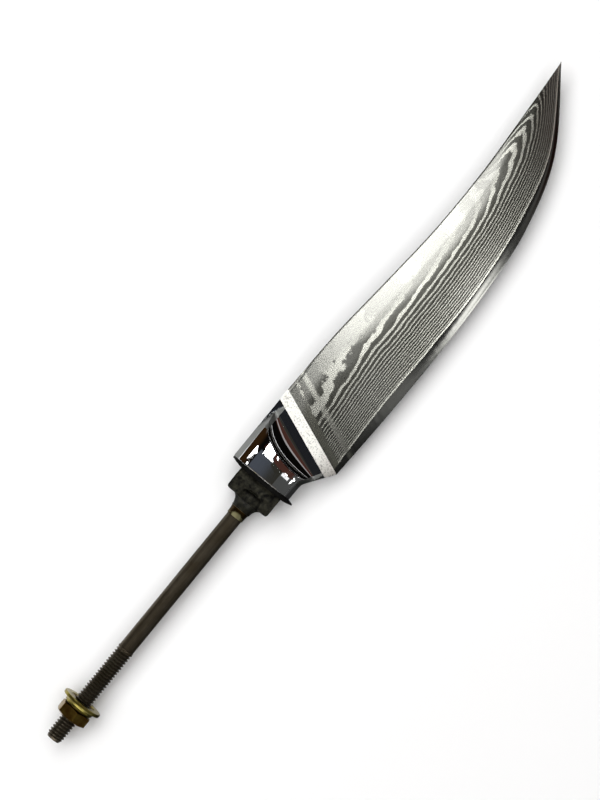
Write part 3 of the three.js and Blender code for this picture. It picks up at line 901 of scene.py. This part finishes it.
scale_pits = add_node(scale_steel, "ShaderNodeBump", {
    "Height": scale_patches.outputs["Fac"], "Distance": 0.1 * mm, "Strength": 0.35})
scale_steel.node_tree.links.new(scale_pits.outputs["Normal"], scale_shader["Normal"])
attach(tenon_block, "knife")
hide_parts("tenon_block")


# Braze fillet: the ring of brass that fills the corner between the boss and the rod.
# It was melted in with flux, so it is wet out thin on the rod and stained dark towards the boss.
braze_length, braze_lip = 2.45, 0.15
braze_rear = cone_rear - braze_length
fillet = hollow_curve((braze_rear, bore_radius + braze_lip), (cone_rear, bore_radius + braze_lip),
                      (cone_rear, cone_radius), 16)
braze_fillet = spun("braze_ring", [(braze_rear, bore_radius), *fillet, (cone_rear, bore_radius)])
smoothed(braze_fillet, 40)

# Brass braze: yellow and fairly bright where it is bare, brown-black where flux has burnt on it, with
# painted shade on the ring's sides that leaves a painted highlight along its top and bottom.
brass, brass_shader = surface(braze_fillet, "flux-stained brass braze with painted side shade")
brass_shader["Metallic"].default_value = 1
brass_place = add_node(brass, "ShaderNodeTexCoord").outputs["Object"]
brass_along = add_node(brass, "ShaderNodeSeparateXYZ", {"Vector": brass_place})
flux = add_node(brass, "ShaderNodeTexNoise", {
    "Vector": brass_place, "Scale": 1 / (1.5 * mm), "Detail": 4.0, "Roughness": 0.6})
burnt = add_node(brass, "ShaderNodeMapRange", {
    "Value": brass_along.outputs["X"], "From Min": placed((braze_rear + 0.8, 0, 0)).x,
    "From Max": placed((braze_rear + 1.9, 0, 0)).x, "To Min": -0.3, "To Max": 0.5}, clamp=True)
# Painted shade on the ring's sides, so bare brass shows only as a painted highlight on top and bottom.
aside_axis = add_node(brass, "ShaderNodeMath", {
    0: brass_along.outputs["Y"], 1: origin.y}, operation="SUBTRACT")
off_axis = add_node(brass, "ShaderNodeMath", {0: aside_axis.outputs[0]}, operation="ABSOLUTE")
painted_side_shade = add_node(brass, "ShaderNodeMapRange", {
    "Value": off_axis.outputs[0], "From Min": 0.9 * mm, "From Max": 1.5 * mm, "To Max": 0.5})
burn_and_side_shade = add_node(brass, "ShaderNodeMath", {
    0: burnt.outputs[0], 1: painted_side_shade.outputs[0]}, operation="ADD")
stain_and_side_shade = add_node(brass, "ShaderNodeMath", {
    0: flux.outputs["Fac"], 1: burn_and_side_shade.outputs[0]}, operation="ADD")
stain_and_shade = add_node(brass, "ShaderNodeMapRange", {
    "Value": stain_and_side_shade.outputs[0], "From Min": 0.4, "From Max": 0.75})
brass_colour = add_node(brass, "ShaderNodeMix", {
    "Factor": stain_and_shade.outputs[0], "A": linear("#c4bf92"), "B": linear("#3a2c16")}, data_type="RGBA")
brass.node_tree.links.new(brass_colour.outputs["Result"], brass_shader["Base Color"])
brass_shader["Roughness"].default_value = 0.32
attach(braze_fillet, "knife")
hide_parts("braze_fillet")


# Rod: the tang, a round bar brazed into the boss, with a rolled thread on its far end for the nut.
# Cold-drawn steel, left dark and oily.
shank_length, thread_length = 50.84, 31.4
thread_radius = 2.435
thread_pitch, thread_depth = 0.9, 0.5
thread_crest, thread_flank = 0.14, 0.72
thread_chamfer = 1.2
thread_start = block_rear - shank_length
rod_rear = thread_start - thread_length
rod_sides = 64
thread_step = thread_pitch / 10


def thread_groove(x, turn):
    """How far down the thread's groove a place lies: 0 on the flat crest, 1 on the flat root."""
    part = (x / thread_pitch - turn / (2 * pi)) % 1
    return min(max((abs(part - 0.5) * 2 - thread_crest) / thread_flank, 0), 1)


def thread_at(x, turn):
    """The thread's radius, with a groove that runs out where the plain shank begins."""
    fade = min(max(thread_start - 0.3 - x, 0), 1)
    crest = thread_radius if x < thread_start - 0.2 else rod_radius
    return crest - thread_depth * thread_groove(x, turn) * fade


def rod_ring(x):
    """The points round the rod at one place along it."""
    ring = []
    for step in range(rod_sides):
        turn = 2 * pi * step / rod_sides
        end = thread_radius - thread_chamfer / 2 + (x - rod_rear) / 2
        radius = min(thread_at(x, turn), end) if x < thread_start else rod_radius
        ring.append((x, radius * cos(turn), radius * sin(turn)))
    return ring


rod_places = even_steps(rod_rear, thread_start, round(thread_length / thread_step))
rod_places += even_steps(thread_start, bore_front - 0.05, 40)[1:]
tang_rod = skinned("tang_rod_steel", [rod_ring(x) for x in rod_places])
smoothed(tang_rod, 32)

# Cold-drawn steel, dark and oily: brown-grey, with drawing lines along it and a warm bloom of old oil.
rod_steel, rod_shader = surface(tang_rod, "oiled cold-drawn steel")
rod_shader["Metallic"].default_value = 0.9
rod_place = add_node(rod_steel, "ShaderNodeTexCoord").outputs["Object"]
drawing = add_node(rod_steel, "ShaderNodeMapping", {
    "Vector": rod_place, "Scale": (1 / (14 * mm), 1 / (0.35 * mm), 1 / (0.35 * mm))})
drawn_lines = add_node(rod_steel, "ShaderNodeTexNoise", {
    "Vector": drawing.outputs["Vector"], "Scale": 1.0, "Detail": 3.0, "Roughness": 0.6})
oil = add_node(rod_steel, "ShaderNodeTexNoise", {
    "Vector": rod_place, "Scale": 1 / (5 * mm), "Detail": 3.0, "Roughness": 0.55})
drawn_colour = add_node(rod_steel, "ShaderNodeMix", {
    "Factor": drawn_lines.outputs["Fac"], "A": linear("#322d25"), "B": linear("#6a6254")}, data_type="RGBA")
oil_amount = add_node(rod_steel, "ShaderNodeMapRange", {
    "Value": oil.outputs["Fac"], "From Min": 0.4, "From Max": 0.7, "To Max": 0.7})
rod_colour = add_node(rod_steel, "ShaderNodeMix", {
    "Factor": oil_amount.outputs[0], "A": drawn_colour.outputs["Result"], "B": linear("#403726")},
    data_type="RGBA")
rod_steel.node_tree.links.new(rod_colour.outputs["Result"], rod_shader["Base Color"])
rod_shader["Roughness"].default_value = 0.38
rod_bump = add_node(rod_steel, "ShaderNodeBump", {
    "Height": drawn_lines.outputs["Fac"], "Distance": 0.02 * mm, "Strength": 0.5})
rod_steel.node_tree.links.new(rod_bump.outputs["Normal"], rod_shader["Normal"])
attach(tang_rod, "knife")
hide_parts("tang_rod")


# Washer: the flange under the nut, a dished ring that turns freely on the nut's neck.
# Pressed steel, plated with yellow zinc.
nut_place, nut_length = 7.1, 3.4
thread_play, neck_wall = 0.15, 0.75
washer_play, washer_gap = 0.15, 0.3
washer_height, washer_rim, washer_collar = 2.1, 1.0, 4.3
washer_radius, washer_round, washer_edge = 5.85, 0.35, 0.2
lip_length, lip_flare = 0.5, 0.35
nut_rear = rod_rear + nut_place
nut_front = nut_rear + nut_length
nut_bore = thread_radius + thread_play
neck_radius = nut_bore + neck_wall
washer_rear = nut_front + washer_gap
washer_front = washer_rear + washer_height
rim_rear = washer_front - washer_rim
lip_front = washer_front - washer_play
lip_rear = lip_front - lip_length
lip_radius = neck_radius + lip_flare
washer_bore = neck_radius + washer_play
dish = hollow_curve((washer_rear, washer_collar), (rim_rear, washer_collar),
                    (rim_rear, washer_radius - washer_round), 20)
rim_back = hollow_curve((rim_rear, washer_radius - washer_round), (rim_rear, washer_radius),
                        (rim_rear + washer_round, washer_radius), 6)
rim_front = hollow_curve((washer_front - washer_edge, washer_radius), (washer_front, washer_radius),
                         (washer_front, washer_radius - washer_edge), 4)
nut_washer = spun("nut_washer_steel", [
    (washer_rear, washer_bore), *dish, *rim_back[1:], *rim_front,
    (washer_front, lip_radius + washer_play), (lip_rear - washer_play, washer_bore)])
smoothed(nut_washer, 30)


def yellow_zinc(piece, name, pale, deep):
    """Yellow zinc plate: a thin passivated film that runs from straw and olive to brown."""
    material, shader = surface(piece, name)
    shader["Metallic"].default_value = 1
    place = add_node(material, "ShaderNodeTexCoord").outputs["Object"]
    film = add_node(material, "ShaderNodeTexNoise", {
        "Vector": place, "Scale": 1 / (2.6 * mm), "Detail": 4.0, "Roughness": 0.6})
    film_depth = add_node(material, "ShaderNodeMapRange", {
        "Value": film.outputs["Fac"], "From Min": 0.35, "From Max": 0.65})
    colour = add_node(material, "ShaderNodeMix", {
        "Factor": film_depth.outputs[0], "A": linear(pale), "B": linear(deep)}, data_type="RGBA")
    material.node_tree.links.new(colour.outputs["Result"], shader["Base Color"])
    shader["Roughness"].default_value = 0.3
    fine = add_node(material, "ShaderNodeTexNoise", {
        "Vector": place, "Scale": 1 / (0.4 * mm), "Detail": 3.0})
    bump = add_node(material, "ShaderNodeBump", {
        "Height": fine.outputs["Fac"], "Distance": 0.03 * mm, "Strength": 0.4})
    material.node_tree.links.new(bump.outputs["Normal"], shader["Normal"])


yellow_zinc(nut_washer, "yellow zinc on pressed steel", "#a59a55", "#6d6128")
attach(nut_washer, "washer")
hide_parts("nut_washer")


# Nut: a hexagon with a neck that holds the washer, run along the rod to clamp the handle.
# Cold-headed steel, tapped, plated with yellow zinc, its corners turned off at the outer end.
nut_across_flats = 8.35
nut_corner = nut_across_flats / 2 / cos(pi / 6)
nut_corner_turn = radians(41)
nut_crown, nut_skirt = 1.1, 0.95
crown_lead, crown_rise = 0.2, 0.38
nut_edge = 0.16
bore_chamfer, tap_depth = 0.4, 0.3
bpy.ops.object.select_all(action="DESELECT")
bpy.ops.mesh.primitive_cylinder_add(vertices=6, radius=nut_corner * mm, depth=nut_length * mm)
hex_nut = bpy.context.object
hex_nut.name = "hex_nut_steel"
for vertex in hex_nut.data.vertices:
    turn = atan2(vertex.co.y, vertex.co.x)
    turn = round((turn - pi / 2) / (pi / 3)) * pi / 3 + nut_corner_turn
    x = nut_front if vertex.co.z > 0 else nut_rear
    vertex.co = placed((x, nut_corner * cos(turn), nut_corner * sin(turn)))
take(hex_nut)
bpy.ops.object.mode_set(mode="EDIT")
bpy.ops.mesh.select_all(action="SELECT")
bpy.ops.mesh.normals_make_consistent(inside=False)
bpy.ops.object.mode_set(mode="OBJECT")
bevelled(hex_nut, nut_edge, 3, lambda middle, along: abs(along.x) > nut_length / 2 * mm)
crown = spun("crown", [
    (nut_rear, 0), (nut_rear, nut_corner - nut_crown),
    (nut_rear + crown_lead, nut_corner - nut_crown + crown_rise), (nut_rear + nut_crown / 2, nut_corner),
    (nut_front - nut_skirt / 2, nut_corner), (nut_front, nut_corner - nut_skirt), (nut_front, 0)])
cut(hex_nut, crown, "INTERSECT")
neck = spun("neck", [
    (nut_front - nut_length / 2, 0), (nut_front - nut_length / 2, neck_radius), (lip_rear, neck_radius),
    (lip_front, lip_radius), (lip_front, 0)])
cut(hex_nut, neck, "UNION")


def tap_ring(x):
    """The points round the tap that cuts the nut's thread, which is wider at the mouth."""
    mouth = nut_bore + bore_chamfer + nut_rear - x
    ring = []
    for step in range(rod_sides):
        turn = 2 * pi * step / rod_sides
        radius = max(nut_bore + tap_depth * (1 - thread_groove(x, turn)), mouth)
        ring.append((x, radius * cos(turn), radius * sin(turn)))
    return ring


tap_places = even_steps(nut_rear - 0.4, lip_front + 0.4, 72)
cut(hex_nut, skinned("tap", [tap_ring(x) for x in tap_places]), "DIFFERENCE")
smoothed(hex_nut, 32)
yellow_zinc(hex_nut, "yellow zinc on headed steel", "#8a7434", "#6b4c1e")
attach(hex_nut, "nut")
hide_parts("hex_nut")


# Studio: a white table under two broad lamps, which light the knife but don't show in its steel.
# The steel mirrors a dark room with brown furniture and low grey walls, and softboxes and glowing cards
# that light nothing else.
bpy.ops.object.select_all(action="DESELECT")
bpy.ops.mesh.primitive_plane_add(size=4)
table = bpy.context.object
table.name = "table"
board_shader = surface(table, "matt white board")[1]
board_shader["Base Color"].default_value = linear("#f4f4f4")
board_shader["Roughness"].default_value = 0.9
board_shader["Specular IOR Level"].default_value = 0.0

scene = bpy.context.scene
scene.view_settings.view_transform = "Standard"
room = bpy.data.worlds.new("studio")
room.use_nodes = True
scene.world = room
direction = add_node(room, "ShaderNodeTexCoord").outputs["Generated"]
aim = add_node(room, "ShaderNodeSeparateXYZ", {"Vector": direction})
ahead, across, up = (aim.outputs[axis] for axis in "XYZ")
sideways = add_node(room, "ShaderNodeMath", {0: ahead}, operation="ABSOLUTE").outputs[0]
aside = add_node(room, "ShaderNodeMath", {
    0: ahead, 1: tan(slant), 2: across}, operation="MULTIPLY_ADD").outputs[0]
overhead, beam, doorway = (
    add_node(room, "ShaderNodeMath", {0: part, 1: middle, 2: reach}, operation="COMPARE").outputs[0]
    for part, middle, reach in ((ahead, -0.01, 0.012), (aside, -0.025, 0.055), (aside, 0.05, 0.36)))
black, brown, umber = (0.003, 0.0026, 0.0022, 1), (0.075, 0.031, 0.023, 1), (0.032, 0.015, 0.005, 1)
cool, olive, shade = (0.08, 0.09, 0.11, 1), (0.035, 0.033, 0.026, 1), (0.016, 0.017, 0.02, 1)
grey, pale_grey = (0.085, 0.086, 0.084, 1), (0.4, 0.4, 0.39, 1)


def turned(tone, other, part, start=0, end=1):
    """A tone of the room that turns to another as a part of the direction runs from a start to an end."""
    share = add_node(room, "ShaderNodeMapRange", {"Value": part, "From Min": start, "From Max": end})
    made = add_node(room, "ShaderNodeMix", {
        "Factor": share.outputs[0], "A": tone, "B": other}, data_type="RGBA")
    return made.outputs["Result"]


# The ceiling from the spine's side to the edge's, dark overhead, with a black gap and brown furniture ahead.
ceiling = turned(cool, olive, across, -0.007, -0.0095)
ceiling = turned(ceiling, grey, across, -0.05, -0.08)
ceiling = turned(ceiling, shade, overhead)
ceiling = turned(ceiling, turned(black, brown, beam), ahead, 0.15, 0.17)
ceiling = turned(ceiling, brown, ahead, 0.21, 0.24)

# The walls: grey and brown on the edge's side, black on the spine's and umber far out there.
edge_wall = turned(brown, grey, ahead, 0.22, 0.14)
edge_wall = turned(edge_wall, black, ahead, 0.6, 0.66)
walls = turned(black, edge_wall, aside, 0.28, 0.22)
walls = turned(walls, umber, across, 0.55, 0.8)
high_room = turned(ceiling, walls, up, 0.93, 0.92)

# Low down, pale grey walls at both ends, with a doorway that keeps the tones above it.
low_wall = turned(pale_grey, high_room, doorway)
low_wall = turned(high_room, low_wall, sideways, 0.3, 0.45)
room_tone = turned(high_room, low_wall, up, 0.62, 0.52)
room.node_tree.links.new(room_tone, room.node_tree.nodes["Background"].inputs["Color"])


def softbox(name, place, width, length, radiance):
    """A soft lamp of some size and brightness that faces straight down."""
    lamp = bpy.data.lights.new(name, "AREA")
    lamp.shape = "RECTANGLE"
    lamp.size = width * mm
    lamp.size_y = length * mm
    lamp.energy = radiance * pi * lamp.size * lamp.size_y
    made = bpy.data.objects.new(name, lamp)
    made.location = Vector(place) * mm
    made.visible_camera = False
    bpy.context.collection.objects.link(made)
    return made


for name, place, width, length, radiance in (
        ("spine softbox", (83, 30, 300), 72, 62, 10.6),
        ("core softbox", (75, -116, 300), 38, 54, 12),
        ("core top softbox", (81, -77, 300), 25, 24, 7),
        ("tip softbox", (222, -66, 300), 76, 80, 0.35),
        ("core tip softbox", (158, -103, 300), 70, 50, 0.45),
        ("hone softbox", (34, -121, 300), 36, 16, 0.8),
        ("edge strip", (23.5, -146, 300), 22, 228, 1.2)):
    softbox(name, place, width, length, radiance).visible_diffuse = False
for name, place, width, length, radiance in (
        ("spine lamp", (0, 500, 1000), 1600, 860, 3.65),
        ("edge lamp", (0, -335, 1000), 1600, 530, 1.7)):
    softbox(name, place, width, length, radiance).visible_glossy = False


def card(name, corners):
    """A flat card that only polished metal sees, with its corners in millimetres."""
    mesh = bpy.data.meshes.new(name)
    mesh.from_pydata([Vector(corner) * mm for corner in corners], [], [range(len(corners))])
    made = bpy.data.objects.new(name, mesh)
    bpy.context.collection.objects.link(made)
    made.visible_camera = False
    made.visible_diffuse = False
    made.visible_shadow = False
    return surface(made, name)[1]


for name, glow, strength, corners in (
        ("spine window", "#ffffff", 6, [(18, 252, 540), (-1, 643, 540), (95, 575, 540), (95, 550, 540)]),
        ("heel window", "#ffffff", 6, [(-40, 300, 540), (-40, 420, 540), (-10, 420, 540), (-10, 300, 540)]),
        ("low strip", "#ffffff", 6, [(4, -400, 110), (46, -400, 110), (46, -400, 250), (4, -400, 250)]),
        ("end card", "#ffffff", 6, [(-300, -80, 10), (-300, 80, 10), (-300, 80, 90), (-300, -80, 90)]),
        ("bolster window", "#ffffff", 8, [
            (14, 45, 300), (25, 37, 300), (25, 16, 300), (16, 1, 300), (45, 1, 300), (45, 45, 300)]),
        ("rear card", "#fff4de", 0.2, [
            (-330, -150, 300), (-330, 150, 300), (-45, 150, 300), (-45, -150, 300)])):
    card_shader = card(name, corners)
    card_shader["Base Color"].default_value = linear("#000000")
    card_shader["Emission Color"].default_value = linear(glow)
    card_shader["Emission Strength"].default_value = strength
black_shader = card("black card", [(-150, -700, 0.1), (60, -700, 0.1), (60, 12, 0.1), (-60, 12, 0.1),
                                   (-60, -4, 0.1), (-150, -4, 0.1)])
black_shader["Base Color"].default_value = linear("#0a0a0a")

# The camera looks straight down and is turned, because the knife lies aslant in the picture.
knife_across, knife_up = 0.63365, 0.77362
camera_data = bpy.data.cameras.new("camera")
camera_data.lens = 106
camera_data.sensor_width = 36
camera = bpy.data.objects.new("camera", camera_data)
camera.location = Vector((-1.17, 8.4, 639.5)) * mm
camera.rotation_euler = (0, 0, -atan2(knife_up, knife_across))
bpy.context.collection.objects.link(camera)
scene.camera = camera
